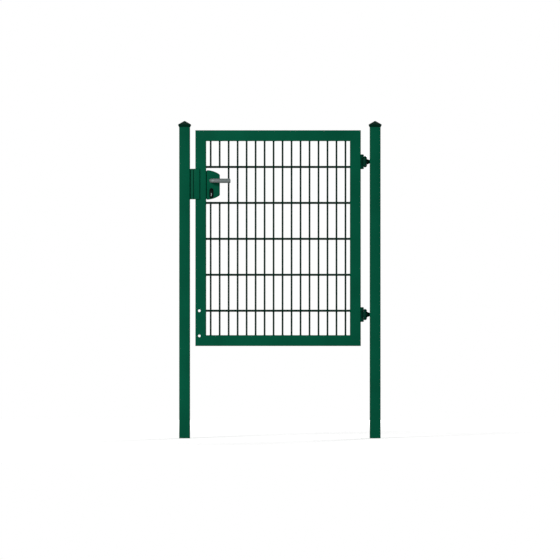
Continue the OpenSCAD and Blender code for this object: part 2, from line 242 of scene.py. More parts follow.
def dress(piece, finish, body, *nodes, sharp=35):
    """Turns all faces outwards first, then paints. Not for a wall with an inner face."""
    with editing(piece):
        bpy.ops.mesh.select_all(action="SELECT")
        bpy.ops.mesh.normals_make_consistent(inside=False)
    return paint(piece, finish, body, *nodes, sharp=sharp)


# %% [markdown]
# ## Finishes
#
# Every finish is a small network of nodes that reads Object coordinates, so its grain keeps its
# real size on every piece. To keep the networks readable, sums and products of sockets are
# written as Python expressions: each one adds a Math node behind the scenes. Everything else
# comes from one method that takes a node's type, its settings and its sockets.


# %% Node maths as expressions
class Wire:
    """An output socket that can be added, subtracted and multiplied."""

    def __init__(self, network, socket):
        self.network = network
        self.socket = socket

    def _math(self, operation, first, second):
        return self.network.node("ShaderNodeMath", {"operation": operation}, {0: first, 1: second})

    def __add__(self, other):
        return self._math("ADD", self, other)

    def __radd__(self, other):
        return self._math("ADD", other, self)

    def __sub__(self, other):
        return self._math("SUBTRACT", self, other)

    def __rsub__(self, other):
        return self._math("SUBTRACT", other, self)

    def __mul__(self, other):
        return self._math("MULTIPLY", self, other)

    def __rmul__(self, other):
        return self._math("MULTIPLY", other, self)


# %% A network of nodes
class Network:
    """A node tree that is built from scratch."""

    def __init__(self, tree):
        self.tree = tree
        tree.nodes.clear()

    def node(self, kind, settings=None, sockets=None, out=0):
        """Adds a node, sets it up, wires it, and returns one of its outputs."""
        node = self.tree.nodes.new(kind)
        for key, value in (settings or {}).items():
            setattr(node, key, value)
        for key, value in (sockets or {}).items():
            if isinstance(value, Wire):
                self.tree.links.new(value.socket, node.inputs[key])
            else:
                node.inputs[key].default_value = value
        return Wire(self, node.outputs[out]) if node.outputs else None

    def axis(self, place, letter):
        """One coordinate of a place."""
        return self.node("ShaderNodeSeparateXYZ", None, {0: place}, out=letter)

    def stretch(self, place, x, y, z):
        """Object coordinates with each axis scaled, which draws a grain out."""
        return self.node("ShaderNodeMapping", None, {"Vector": place, "Scale": (x, y, z)})

    def noise(self, place, scale, detail=2.0, rough=0.5):
        """Noise from 0 to 1 with so many lumps to the metre."""
        sockets = {"Vector": place, "Scale": scale, "Detail": detail, "Roughness": rough}
        return self.node("ShaderNodeTexNoise", None, sockets, out="Fac")

    def ramp(self, value, start, end):
        """0 before the start and 1 past the end."""
        sockets = {"Value": value, "From Min": start, "From Max": end}
        return self.node("ShaderNodeMapRange", None, sockets)

    def blend(self, factor, first, second):
        """Mixes two colours."""
        sockets = {0: factor, 6: first, 7: second}
        return self.node("ShaderNodeMix", {"data_type": "RGBA"}, sockets, out=2)

    def spread(self, factor, colour, share):
        """One colour, darkened and lightened by a share of itself."""
        darker, lighter = (
            tuple(c * level for c in colour[:3]) + (1.0,) for level in (1 - share, 1 + share)
        )
        return self.blend(factor, darker, lighter)

    def bump(self, strength, depth, height):
        """A normal that follows a height from 0 to 1, over a depth in millimetres."""
        sockets = {"Strength": strength, "Distance": mm(depth), "Height": height}
        return self.node("ShaderNodeBump", None, sockets, out="Normal")


# %% Colours, materials and their shader
def shade(red, green, blue):
    """A colour from 0 to 255 as shown on a screen, turned into linear light."""

    def linear(v):
        v = v / 255
        return v / 12.92 if v <= 0.04045 else ((v + 0.055) / 1.055) ** 2.4

    return (linear(red), linear(green), linear(blue), 1.0)


def finish(name):
    """A new material named for a slot, instead of the plain one that the CAD model brought."""
    plain_one = bpy.data.materials.get(name)
    if plain_one:
        plain_one.name = "cad_" + name
    material = bpy.data.materials.new(name)
    material.use_nodes = True
    network = Network(material.node_tree)
    place = network.node("ShaderNodeTexCoord", out="Object")
    return material, network, place


def surface(network, **sockets):
    """The Principled shader and the output. Socket names are written with underscores."""
    named = {key.replace("_", " "): value for key, value in sockets.items()}
    shader = network.node("ShaderNodeBsdfPrincipled", None, named)
    network.node("ShaderNodeOutputMaterial", None, {"Surface": shader})


# %% [markdown]
# ### Powder coat
#
# Tubes, lock case and keep are steel and cast metal under a dark green powder coat. One even
# colour would do from afar, but close up it looks like plastic, because baked powder is never
# quite flat: it has an orange peel of about a millimetre, a slow drift in its tone, and patches
# that are a little duller. The peel goes into a bump, and the other two into colour and
# roughness. The coat is satin, so its mirror part is kept low. The collar of the eye bolts is
# darker: Map Range turns the distance past one x into a narrow ramp that mixes a second colour in.

# %% Coats of paint
COAT_GLOSS = 0.03
COAT_SPREAD = 0.16
COAT_DEPTH = 0.4
SEAM_BLUR = 0.5


def powder_coat(name, colour, peel=1.1, rough=0.46, strength=0.4, second=None, start=0.0):
    """Baked powder with lumps of peel millimetres. A second colour starts at an x in metres."""
    material, net, place = finish(name)
    cloud = net.noise(place, scale=5.0, detail=3.0)
    lumps = net.noise(place, scale=1000 / peel)
    dust = net.noise(place, scale=4200.0, detail=1.0)
    mix = 0.5 + 1.6 * (cloud - 0.5) + 0.5 * (dust - 0.5)
    coat = net.spread(mix, colour, COAT_SPREAD)
    if second:
        past = net.ramp(net.axis(place, "X"), start - mm(SEAM_BLUR), start + mm(SEAM_BLUR))
        coat = net.blend(past, coat, net.spread(mix, second, COAT_SPREAD))
    surface(
        net,
        Base_Color=coat,
        Roughness=rough + 0.16 * (cloud - 0.5) + 0.1 * (lumps - 0.5),
        Specular_IOR_Level=COAT_GLOSS,
        Normal=net.bump(strength, COAT_DEPTH, lumps),
    )
    return material


green_coat = powder_coat("green_coat", shade(2, 79, 56))
keep_casting = powder_coat("keep_casting", shade(10, 80, 58), peel=2.2, rough=0.52, strength=0.5)
rod_coat = powder_coat("rod_coat", shade(2, 34, 24), peel=0.7, rough=0.5)
hinge_coat = powder_coat("hinge_coat", shade(4, 50, 37), peel=1.6, rough=0.5)
COLLAR_SEAM = 22.6  # from the near side of the eye
collar_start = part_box("upper_eye_bolt")[0].x + mm(COLLAR_SEAM)
eye_coat = powder_coat(
    "eye_coat",
    shade(4, 48, 36),
    peel=1.6,
    rough=0.5,
    second=shade(1, 14, 10),
    start=collar_start,
)
print("coats:", green_coat.name, keep_casting.name, rod_coat.name, hinge_coat.name, eye_coat.name)

# %% [markdown]
# ### Moulded plastic and metal
#
# The caps and the plates round the key are moulded plastic, with the fine even grain of an eroded
# mould. The fittings are metal: the forend and the bolts are brushed, and the levers are satin
# aluminium with much fainter lines. Brushed metal could have a shader that stretches its
# reflections, but plain lines survive the export: a noise is drawn out along the brush.

# %% Plastic and metal
PLASTIC_GLOSS = 0.02
BRUSH_ALONG, BRUSH_ACROSS = 60.0, 2600.0  # lines to the metre


def moulded(name, colour, rough=0.55):
    """Plastic from a mould with an eroded surface."""
    material, net, place = finish(name)
    grain = net.noise(place, scale=1600.0, detail=3.0, rough=0.6)
    flow = net.noise(net.stretch(place, 14.0, 14.0, 40.0), scale=1.0)
    surface(
        net,
        Base_Color=net.spread(0.3 * grain + 0.7 * flow, colour, 0.2),
        Roughness=rough + 0.14 * (grain - 0.5),
        Specular_IOR_Level=PLASTIC_GLOSS,
        Normal=net.bump(0.2, 0.2, grain),
    )
    return material


def brush_lines(net, place, along):
    """Noise that is drawn out along x, y or z."""
    scales = [BRUSH_ALONG if axis == along else BRUSH_ACROSS for axis in "xyz"]
    return net.noise(net.stretch(place, *scales), scale=1.0)


def brushed(name, colour, along, rough=0.36, spread=0.25, metal=1.0, gloss=0.5):
    """Metal with a brushed grain that runs along x, y or z. A low metal value dulls it."""
    material, net, place = finish(name)
    lines = brush_lines(net, place, along)
    stain = net.noise(place, scale=45.0, detail=3.0)
    surface(
        net,
        Base_Color=net.spread(0.6 * lines + 0.4 * stain, colour, spread),
        Metallic=metal,
        Roughness=rough + 0.2 * (lines - 0.5) + 0.12 * (stain - 0.5),
        Specular_IOR_Level=gloss,
        Normal=net.bump(0.06, 0.2, lines),
    )
    return material


cap_plastic = moulded("cap_plastic", shade(2, 37, 26))
black_plastic = moulded("black_plastic", shade(4, 10, 8), rough=0.5)
bright_steel = brushed("bright_steel", shade(140, 150, 148), "z")
dark_steel = brushed("dark_steel", shade(5, 8, 8), "z", rough=0.5, metal=0.3, gloss=0.08)
lever_aluminium = brushed(
    "lever_aluminium", shade(106, 114, 113), "x", rough=0.5, spread=0.12, metal=0.3, gloss=0.2
)
print("plastic and metal:", cap_plastic.name, bright_steel.name, lever_aluminium.name)

# %% [markdown]
# ### Face of the key cylinder
#
# The face of the key cylinder is black, and satin nickel shows only on a narrow strip of its tail.
# The cylinder is a single solid, so it isn't cut up for two materials: ramps again bound the
# strip, one by height and one by the distance from the key's axis, and their product is its
# mask. A brushed grain breaks both colours up.

# %% Nickel in two tones
TAIL_START, STRIP, STRIP_BLUR = 16.5, 2.4, 0.2
low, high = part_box("key_cylinder")
tail_top, key_x = high.z - mm(TAIL_START), (low.x + high.x) / 2
satin_nickel, net, place = finish("satin_nickel")
across = net.axis(place, "X") - key_x
aside = net.node("ShaderNodeMath", {"operation": "ABSOLUTE"}, {0: across})
in_tail = net.ramp(net.axis(place, "Z"), tail_top + mm(SEAM_BLUR), tail_top - mm(SEAM_BLUR))
in_strip = net.ramp(aside, mm(STRIP + STRIP_BLUR), mm(STRIP - STRIP_BLUR))
lines = brush_lines(net, place, "z")
black = net.blend(lines, shade(2, 6, 5), shade(8, 13, 11))
nickel = net.blend(lines, shade(112, 124, 122), shade(146, 158, 156))
surface(
    net,
    Base_Color=net.blend(in_tail * in_strip, black, nickel),
    Metallic=0.3,
    Roughness=0.42 + 0.16 * lines,
    Specular_IOR_Level=0.08,
)
print("tail of the cylinder starts at", round(tail_top, 4))

# %% [markdown]
# ## Posts
#
# A post is a length of square tube with rounded corners, open at its foot. The tube could be
# drawn as a section and swept, but a straight one is quicker from a block: round its four long
# edges, take off both ends, and give the skin its wall with Solidify. Both posts are alike, so
# the second one is a copy with its own mesh.

# %% Square tube posts
TUBE_WALL = 2
TUBE_ROUND = 4
post = block("hinge_post_tube", *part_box("hinge_post"))
with editing(post):
    pick(post, "EDGE", lambda edge: runs(edge, "z"))
    round_off(TUBE_ROUND, segments=6)
    pick(post, "FACE", lambda face: abs(face.normal.z) > FACING)
    bpy.ops.mesh.delete(type="FACE")
apply(post, "SOLIDIFY", thickness=mm(TUBE_WALL), offset=-1)
for tube, node in one_for_each(post, "_tube", "hinge_post", "latch_post"):
    paint(tube, green_coat, "posts", node)

# %% [markdown]
# ## Post caps
#
# Each post has a plastic cap: a narrow skirt round the tube, a brim that stands out all round,
# and a low pyramid. A cone of four sides would give the pyramid alone, so the cap grows upwards
# from a block as high as the skirt instead: its top face is extruded and scaled once for each
# course. Moulded parts have no sharp edges, so the brim's are rounded, and last the pocket for
# the tube goes in from below.

# %% Pyramid caps
CAP_HEM, CAP_SKIRT, CAP_FLARE = 64.4, 4, 3.3  # width and height of the skirt, height of the flare
CAP_TIP, CAP_PEAK, CAP_NIB = 7.4, 3, 1  # widths below and on the blunt peak, and its height
CAP_CORNER, CAP_EASE = 3.6, 1.2
CAP_WALL, CAP_SEAT = 2, 0.5
low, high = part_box("hinge_post_cap")
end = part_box("hinge_post")[1].z
foot = Vector(((low.x + high.x) / 2, (low.y + high.y) / 2, low.z))
brim, rise, depth = (1000 * length for length in (high.x - low.x, high.z - end, end - low.z))
rim = depth - CAP_SKIRT - CAP_FLARE
hem = mm(CAP_HEM / 2, CAP_HEM / 2, 0)
courses = (CAP_FLARE, brim), (rim, brim), (rise - CAP_NIB, CAP_TIP), (CAP_NIB, CAP_PEAK)
cap = block("hinge_post_cap_pyramid", foot - hem, foot + hem + mm(0, 0, CAP_SKIRT))
with editing(cap):
    pick(cap, "EDGE", lambda edge: runs(edge, "z"))
    round_off(CAP_CORNER, segments=5)
    side = CAP_HEM
    for step, wide in courses:
        pick(cap, "FACE", lambda face: face.normal.z > FACING)
        extrude(0, 0, step)
        resize(foot, wide / side, wide / side)
        side = wide
    for height in (end, end - mm(rim)):
        pick(cap, "EDGE", lambda edge: lies_at(edge, "z", height))
        round_off(CAP_EASE)
    pick(cap, "FACE", lambda face: face.normal.z < -FACING)
    bpy.ops.mesh.inset(thickness=mm(CAP_WALL))
    extrude(0, 0, depth - CAP_SEAT)
for pyramid, node in one_for_each(cap, "_pyramid", "hinge_post_cap", "latch_post_cap"):
    dress(pyramid, cap_plastic, "posts", node)

# %% [markdown]
# ## Leaf frame
#
# Four rectangular tubes are mitred, welded and ground flush before the coat goes on, so no joint
# shows. One ring is therefore truer than four tubes: a block is inset on both faces, the two
# windows are bridged, and the long edges are rounded. Solidify makes it hollow, and cutters open
# the slot for the lock's forend and the two holes low in the lock stile. A cutter reaches past
# the surface that it cuts, because two faces in one plane can confuse Boolean.

# %% One welded ring of tube
FRAME_FACE = 60
leaf_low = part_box("bottom_rail")[0]
leaf_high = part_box("top_rail")[1]
leaf_mid = (leaf_low + leaf_high) / 2
window_low = leaf_low + mm(FRAME_FACE, 0, FRAME_FACE)
window_high = leaf_high - mm(FRAME_FACE, 0, FRAME_FACE)


def in_window(part):
    """True inside the opening of the leaf."""
    spot = middle(part)
    return window_low.x < spot.x < window_high.x and window_low.z < spot.z < window_high.z


ring = block("leaf_frame", leaf_low, leaf_high)
with editing(ring):
    pick(ring, "FACE", lambda face: abs(face.normal.y) > FACING)
    bpy.ops.mesh.inset(thickness=mm(FRAME_FACE))
    pick(ring, "FACE", lambda face: abs(face.normal.y) > FACING and in_window(face))
    bpy.ops.mesh.bridge_edge_loops()
    long_edges = pick(ring, "EDGE", lambda edge: runs(edge, "x") or runs(edge, "z"))
    round_off(TUBE_ROUND, segments=6)
    bpy.ops.mesh.select_all(action="SELECT")
    bpy.ops.mesh.normals_make_consistent(inside=False)
apply(ring, "SOLIDIFY", thickness=mm(TUBE_WALL), offset=-1)
print("long edges rounded:", long_edges)

# %% Openings in the lock stile
OVERCUT = 5  # how far a cutter reaches past a surface
THROUGH = 40  # reach of a cutter that goes right through
HOLE_SIDES = 48
STILE_HOLE, STILE_HOLE_X, STILE_HOLES_Z = 15, -978, (569, 709)
FOREND_ROOM = 0.2
forend_low, forend_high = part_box("lock_forend")
room = mm(FOREND_ROOM, FOREND_ROOM, FOREND_ROOM)
cut(ring, block("forend_cutter", forend_low - room - mm(OVERCUT, 0, 0), forend_high + room))
for height in STILE_HOLES_Z:
    front, back = mm(STILE_HOLE_X, -THROUGH, height), mm(STILE_HOLE_X, THROUGH, height)
    cut(ring, bar("hole_cutter", front, back, STILE_HOLE, sides=HOLE_SIDES))
paint(ring, green_coat, "leaf", "top_rail", "bottom_rail", "lock_stile", "hinge_stile")

# %% [markdown]
# ## Rod mesh
#
# Upright rods run between pairs of cross rods and are welded at every crossing, and at the frame
# each end has a small fillet of weld. Curves with a round bevel would make plain rods, but the
# fillets need more: a rod starts as a disc at its foot and is extruded along its length, with
# the fillet drawn in the first and the last steps. One rod is modelled for each kind and
# repeated with Array, and the weld at a crossing is a flattened ball of few faces, because there
# are more than a hundred of them.

# %% One rod with its welds
UPRIGHT, CROSS = 10, 12
WELD_SINK = 0.4
CROSS_Y = (UPRIGHT + CROSS) / 2 - WELD_SINK
ROD_SIDES = 16
FILLET = [(0, 2.2), (0.9, 0.9), (2.4, 0)]  # distance from the end, growth of the radius
CUT_END = [(0, -0.7), (0.7, 0)]


def rod(name, start, end, diameter, first=FILLET, last=FILLET):
    """Round rod from one point to another, with a fillet of weld or a cut at each end."""
    start, end = Vector(start), Vector(end)
    along = (end - start).normalized()
    length = 1000 * (end - start).length
    steps = first + [(length - at, more) for at, more in reversed(last)]
    piece = disc(name, start, -along, diameter + 2 * steps[0][1], sides=ROD_SIDES)
    with editing(piece):
        bpy.ops.mesh.select_all(action="SELECT")
        for (before, thick), (at, more) in zip(steps, steps[1:]):
            extrude(*(along * (at - before)))
            factor = (diameter + 2 * more) / (diameter + 2 * thick)
            resize(start + along * mm(at), factor, factor, factor)
    return piece


def repeat(piece, count, *step):
    """Repeats a piece along a step in millimetres."""
    return apply(
        piece,
        "ARRAY",
        count=count,
        use_relative_offset=False,
        use_constant_offset=True,
        constant_offset_displace=mm(*step),
    )


# %% All rods
PITCH, ROW_PITCH = 50, 200
FIRST_X, FIRST_ROW_Z = -915, 709
COLUMNS, SHORT_COLUMNS, ROWS = 16, 2, 5
LOCK_BAY = 1314, 1504  # where the short rods below and above the lock end
first_x, foot, head = mm(FIRST_X), window_low.z, window_high.z
long_x, row_z = mm(FIRST_X + SHORT_COLUMNS * PITCH), mm(FIRST_ROW_Z)
bay_low, bay_high = mm(LOCK_BAY[0]), mm(LOCK_BAY[1])
tall = rod("long_uprights", (long_x, 0, foot), (long_x, 0, head), UPRIGHT)
below = rod("low_uprights", (first_x, 0, foot), (first_x, 0, bay_low), UPRIGHT, last=CUT_END)
above = rod("high_uprights", (first_x, 0, bay_high), (first_x, 0, head), UPRIGHT, first=CUT_END)
cross_ends = [(x, -mm(CROSS_Y), row_z) for x in (window_low.x, window_high.x)]
cross = rod("cross_rods", *cross_ends, CROSS)
repeat(tall, COLUMNS - SHORT_COLUMNS, PITCH, 0, 0)
repeat(below, SHORT_COLUMNS, PITCH, 0, 0)
repeat(above, SHORT_COLUMNS, PITCH, 0, 0)
repeat(repeat(cross, ROWS, 0, 0, ROW_PITCH), 2, 0, 2 * CROSS_Y, 0)
rods = [tall, below, above, cross]
print("rods:", sum(len(piece.data.polygons) for piece in rods), "faces")

# %% Welds at the crossings
WELD_DEPTH = 0.1  # how far the weld's middle lies inside the cross rod
WELD_Y = CROSS_Y - CROSS / 2 + WELD_DEPTH
WELD_RADII = 6, 2.6, 7.2
choose()
bpy.ops.mesh.primitive_uv_sphere_add(
    segments=10, ring_count=5, radius=1, location=mm(FIRST_X, -WELD_Y, FIRST_ROW_Z)
)
bpy.ops.transform.resize(value=mm(*WELD_RADII))
weld = settle("crossing_welds")
weld = repeat(repeat(weld, COLUMNS, PITCH, 0, 0), ROWS, 0, 0, ROW_PITCH)
weld = repeat(weld, 2, 0, 2 * WELD_Y, 0)
dress(join("welded_mesh", *rods, weld), rod_coat, "leaf", "rod_mesh", sharp=50)

# %% [markdown]
# ## Keep
#
# The keep is a cast block on the latch post. On it sits the strike, a steel plate with pockets
# for the two bolts, which is bent round to the front so that the leaf stops against it. A bent
# plate is best modelled as its middle surface: of a block only the two sides that meet at the
# bend are left, the bend is rounded, and Solidify gives the sheet its thickness. Its free edge
# is chamfered. The casting has a rebate along both sides of its front, which shows as two dark
# lines.

# %% Pockets for the bolts
POCKET_ROOM, POCKET_DEPTH = 3, 14


def pocket_cutter(bolt, start_x, end_x):
    """Cutter for a bolt's pocket between two places across the keep."""
    low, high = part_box(bolt)
    room = mm(0, POCKET_ROOM, POCKET_ROOM)
    near = Vector((start_x, low.y, low.z)) - room
    return block("pocket_cutter", near, Vector((end_x, high.y, high.z)) + room)


# %% Cast block
KEEP_ROUND = 3
REBATE_DEPTH, OUTER_REBATE, INNER_REBATE = 14, 2.6, 3.4
low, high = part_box("keep_block")
keep = block("keep_casting_block", low, high)
with editing(keep):
    bpy.ops.mesh.select_mode(type="EDGE")
    bpy.ops.mesh.select_all(action="SELECT")
    round_off(KEEP_ROUND, segments=5)
for side, width in ((low.x, OUTER_REBATE), (high.x, INNER_REBATE)):
    near = Vector((side, low.y, low.z)) - mm(width, OVERCUT, OVERCUT)
    far = Vector((side, low.y, high.z)) + mm(width, REBATE_DEPTH, OVERCUT)
    cut(keep, block("rebate_cutter", near, far))
for bolt in ("latch_bolt", "dead_bolt"):
    cut(keep, pocket_cutter(bolt, high.x - mm(POCKET_DEPTH), high.x + mm(OVERCUT)))
dress(keep, keep_casting, "posts", "keep_block")

# %% Bent strike
STRIKE, STRIKE_BEND = 3, 5
STRIKE_CHAMFER, STRIKE_EASE = 2.2, 0.3
STRIKE_SHARP = 40  # degrees: edges sharper than this are eased
low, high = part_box("keep_strike")
half = mm(STRIKE) / 2
strike = block("strike_plate", (low.x + half, low.y + half, low.z), high)
with editing(strike):
    pick(strike, "FACE", lambda face: face.normal.x > -FACING and face.normal.y > -FACING)
    bpy.ops.mesh.delete(type="FACE")
    pick(strike, "EDGE", lambda edge: runs(edge, "z") and len(edge.link_faces) == 2)
    round_off(STRIKE_BEND - STRIKE / 2, segments=8)
apply(strike, "SOLIDIFY", thickness=mm(STRIKE), offset=0)
for bolt in ("latch_bolt", "dead_bolt"):
    cut(strike, pocket_cutter(bolt, low.x - mm(OVERCUT), low.x + mm(STRIKE + OVERCUT)))
with editing(strike):
    pick(strike, "EDGE", lambda edge: lies_at(edge, "x", high.x) and lies_at(edge, "y", low.y))
    round_off(STRIKE_CHAMFER, segments=1)
apply(
    strike,
    "BEVEL",
    width=mm(STRIKE_EASE),
    segments=2,
    limit_method="ANGLE",
    angle_limit=math.radians(STRIKE_SHARP),
)
paint(strike, green_coat, "posts", "keep_strike")

# %% [markdown]
# ## Lock case
#
# The lock sits in a welded case beside the stile. Its top and bottom are shallow arcs. Their
# outline could be drawn point by point and extruded, but it is less work to carve a block with
# Bisect: each cut is a plane that touches the arc, and what lies outside is thrown away. Then
# the edges are rounded. The case stands off the stile on a neck that is a little smaller all
# round, made by Inset and Extrude, and what is left between the two is the narrow dark joint
# that the real case shows.

# %% Planes that carve the case
CASE_W, CASE_H, CASE_TIP = 76, 164, 116
CASE_CUTS = 14
CASE_EASE, CASE_EASE_ANGLES = 1.5, (55, 53.2, 51.4)  # depth and tilts of the cuts at a corner
case_low, case_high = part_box("lock_case")
case_mid = (case_low + case_high) / 2
drop = (CASE_H - CASE_TIP) / 2
arc = (CASE_W**2 + drop**2) / (2 * drop)
sweep = math.asin(CASE_W / arc)
corner = math.hypot(CASE_W, CASE_TIP / 2) - CASE_EASE
cuts = [(sweep * (k + 0.5) / CASE_CUTS, arc, CASE_H / 2 - arc) for k in range(CASE_CUTS)]
cuts += [(math.radians(angle), corner, 0) for angle in CASE_EASE_ANGLES]
print("planes at the top and at the bottom:", len(cuts))

# %% Carved case
CASE_ROUND = 2.4
CASE_JOINT, CASE_NECK = 3.6, 14
joint_x = case_low.x + mm(CASE_JOINT)


def on_outline(edge):
    """True for an edge of the front or the rear face, apart from those at the joint."""
    spot = middle(edge)
    return abs(spot.y) > case_high.y - NEAR and spot.x > joint_x + NEAR


case = block("lock_box", case_low + mm(CASE_JOINT, 0, 0), case_high)
with editing(case):
    for side in (1, -1):
        for angle, radius, height in cuts:
            normal = Vector((math.sin(angle), 0, side * math.cos(angle)))
            spot = Vector((case_low.x, 0, case_mid.z + side * mm(height))) + normal * mm(radius)
            bpy.ops.mesh.select_all(action="SELECT")
            bpy.ops.mesh.bisect(plane_co=spot, plane_no=normal, use_fill=True, clear_outer=True)
    outline = pick(case, "EDGE", on_outline)
    round_off(CASE_ROUND, segments=5)
    pick(case, "FACE", lambda face: lies_at(face, "x", joint_x))
    bpy.ops.mesh.inset(thickness=mm(CASE_NECK))
    extrude(-CASE_JOINT, 0, 0)
dress(case, green_coat, "leaf", "lock_case", sharp=30)
print("edges of the case rounded:", outline)

# %% [markdown]
# ## Levers
#
# The lever is a round bar that leaves the case, bends through a right angle and runs level to a
# rounded tip. A bevelled curve would follow that path, but its thickness couldn't step out from
# the neck so plainly. So the lever grows from a disc in the case: extrude the neck, step out to
# the bar, turn the corner with Spin, and extrude again. The rear lever is the same piece
# mirrored, and a mirrored mesh is inside out until its normals are recalculated.

# %% Bent lever
LEVER, LEVER_BEND, BEND_STEPS, STANDOFF = 23, 18, 14, 48
NECK, NECK_IN, NECK_OUT, SHOULDER = 18, 6, 7.2, 0.8  # diameter, reach in and out of the case
TIP_ROUND = LEVER / 5
low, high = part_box("front_lever")
axis = Vector((low.x + mm(LEVER) / 2, 0, (low.z + high.z) / 2))
case_front = case_low.y
lever = disc("front_handle", (axis.x, case_front + mm(NECK_IN), axis.z), (0, 1, 0), NECK)
with editing(lever):
    bpy.ops.mesh.select_all(action="SELECT")
    extrude(0, -NECK_IN - NECK_OUT, 0)
    out, wide = NECK_OUT, NECK
    for wider in (LEVER - 2 * SHOULDER, LEVER):
        out += SHOULDER
        extrude(0, -SHOULDER, 0)
        resize((axis.x, case_front - mm(out), axis.z), wider / wide, 1, wider / wide)
        wide = wider
    extrude(0, out + LEVER_BEND - STANDOFF, 0)
    bend = (axis.x + mm(LEVER_BEND), case_front + mm(LEVER_BEND - STANDOFF), axis.z)
    bpy.ops.mesh.spin(steps=BEND_STEPS, angle=-math.pi / 2, center=bend, axis=(0, 0, 1))
    extrude(1000 * (high.x - bend[0]), 0, 0)
    tip = pick(lever, "EDGE", lambda edge: lies_at(edge, "x", high.x))
    round_off(TIP_ROUND, segments=6)
print("edges at the tip:", tip)


# %% Both levers
def mirrored(piece, name):
    """A copy with its own mesh on the rear of the leaf, still inside out."""
    choose(piece)
    bpy.ops.object.duplicate()
    bpy.context.object.scale.y = -1
    return settle(name)


rear = mirrored(lever, "rear_handle")
dress(lever, lever_aluminium, "lever", "front_lever", sharp=40)
dress(rear, lever_aluminium, "lever", "rear_lever", sharp=40)

# %% [markdown]
# ## Key plates
#
# Round the key cylinder lies an oblong black plate. Its outline could be a curve, but a block is
# quicker: its four short edges are rounded until its ends are half circles, the edge towards the
# viewer is eased, and the hole is cut in the outline of the cylinder, with a bar for its round
# head, another for the foot of its tail, and a block between the two.

# %% Oblong key plates
HEAD_D, TAIL_D, TAIL_DROP = 17.4, 10.4, 19.5
KEY_DROP = 8.5  # from the top of the cylinder down to the key's axis
PLATE_LAND, PLATE_EASE = 0.05, 0.9  # flat left between two rounds, and round of the front edge
low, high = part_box("front_key_rim")
key = Vector(((low.x + high.x) / 2, 0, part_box("key_cylinder")[1].z - mm(KEY_DROP)))
plate = block("front_key_surround", low, high)
with editing(plate):
    pick(plate, "EDGE", lambda edge: runs(edge, "y"))
    round_off(1000 * (high.x - low.x) / 2 - PLATE_LAND, segments=12)
    pick(plate, "EDGE", lambda edge: lies_at(edge, "y", low.y))
    round_off(PLATE_EASE, segments=3)
for drop, across in ((0, HEAD_D), (TAIL_DROP, TAIL_D)):
    spot = key - mm(0, 0, drop)
    cut(plate, bar("bar_cutter", spot - mm(0, THROUGH, 0), spot, across, sides=HOLE_SIDES))
tail = mm(TAIL_D / 2, 0, 0)
cut(plate, block("tail_cutter", key - tail - mm(0, THROUGH, TAIL_DROP), key + tail))
rear_plate = mirrored(plate, "rear_key_surround")
dress(plate, black_plastic, "leaf", "front_key_rim")
dress(rear_plate, black_plastic, "leaf", "rear_key_rim")

# %% [markdown]
# ## Hinges
#
# Each hinge has a cast base on the stile, slotted for the eye of the bolt that comes out of the
# post, with a domed knuckle above and below the eye and a pin through all three. It could be put
# together from many small blocks, but cutting leaves truer corners: the base starts as one block
# with rounded edges, and the slot and the groove come out of it as a milling machine would take
# them. The eye bolt is turned: a barrel, a tapered collar, a shank. The upper hinge is modelled,
# and the lower one is its copy.

# %% Milled hinge base
BASE_T, BASE_BACK, BASE_ROUND = 15, 5, 2.6
HINGE_OUT, SLOT, WEB = 23, 40.8, 8  # reach of the pin, height of the slot, half the web
KNUCKLE, GROOVE_ROOM, GROOVE_SIDES = 23, 2, 64
low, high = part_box("upper_hinge_base")
mid = (low + high) / 2
pin = Vector((low.x + mm(HINGE_OUT), mid.y, mid.z))
up = mm(0, 0, SLOT / 2)
base_front = low.x + mm(BASE_T)
base = block("upper_hinge_base_casting", low, (base_front, high.y, high.z))
with editing(base):
    pick(base, "EDGE", lambda edge: lies_at(edge, "x", base_front))
    round_off(BASE_ROUND)
for side in (-1, 1):
    near, far = sorted((side * mm(WEB), side * mm(THROUGH)))
    slot_low = (low.x + mm(BASE_BACK), near, pin.z - up.z)
    slot_high = (low.x + mm(THROUGH), far, pin.z + up.z)
    cut(base, block("slot_cutter", slot_low, slot_high))
groove = bar("groove_cutter", pin - up, pin + up, KNUCKLE + GROOVE_ROOM, sides=GROOVE_SIDES)
cut(base, groove)
print("milled base:", len(base.data.polygons), "faces")

# %% Knuckles and their webs
KNUCKLE_END, KNUCKLE_DOME = 30, 8.6
WEB_H, WEB_SINK = 9.3, 1
BARREL_SIDES = 40


def knuckle(foot, head):
    """Barrel that is domed at its head."""
    barrel = bar("knuckle", foot, head, KNUCKLE, sides=BARREL_SIDES)
    with editing(barrel):
        pick(barrel, "EDGE", lambda edge: lies_at(edge, "z", head.z))
        round_off(KNUCKLE_DOME, segments=8)
    return barrel


parts = [base]
for side in (1, -1):
    foot = pin + side * up
    head = pin + mm(0, 0, side * KNUCKLE_END)
    parts.append(knuckle(foot, head))
    web_low, web_high = sorted((foot.z, foot.z + side * mm(WEB_H)))
    near = (base_front - mm(WEB_SINK), -mm(WEB), web_low)
    parts.append(block("web", near, (pin.x, mm(WEB), web_high)))
hinge = join("upper_hinge_base_casting", *parts)
for casting, node in one_for_each(hinge, "_casting", "upper_hinge_base", "lower_hinge_base"):
    dress(casting, hinge_coat, "leaf", node)

